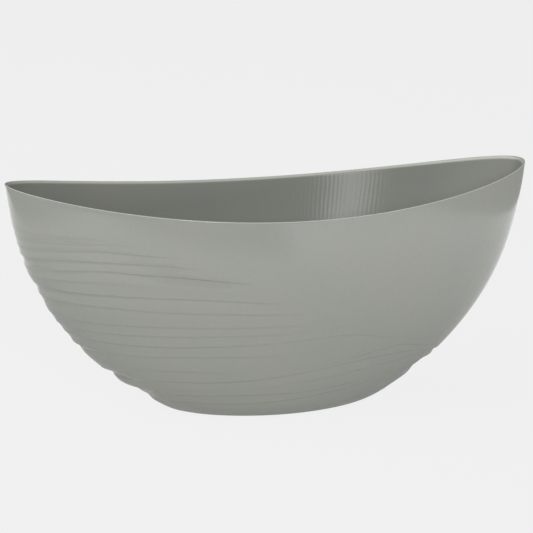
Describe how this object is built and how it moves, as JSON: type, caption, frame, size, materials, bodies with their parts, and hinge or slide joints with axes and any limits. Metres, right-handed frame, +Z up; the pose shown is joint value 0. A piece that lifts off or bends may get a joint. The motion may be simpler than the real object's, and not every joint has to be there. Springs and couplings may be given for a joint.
{
  "type": "oval serving bowl",
  "caption": "Boat-shaped oval serving bowl in one piece of moulded plastic, with raised ends and a flat foot.",
  "frame": {"origin": "centre of the foot, on the surface that the bowl stands on", "axes": "+X along the bowl's length towards one raised end, +Y across its width, +Z up"},
  "size_m": [0.3898, 0.17, 0.1729],
  "materials": {
    "shell": "glossy sage grey moulded plastic with a fine mottle, a little duller inside"
  },
  "bodies": {
    "root": {"bowl": "shell"}
  },
  "joints": []
}
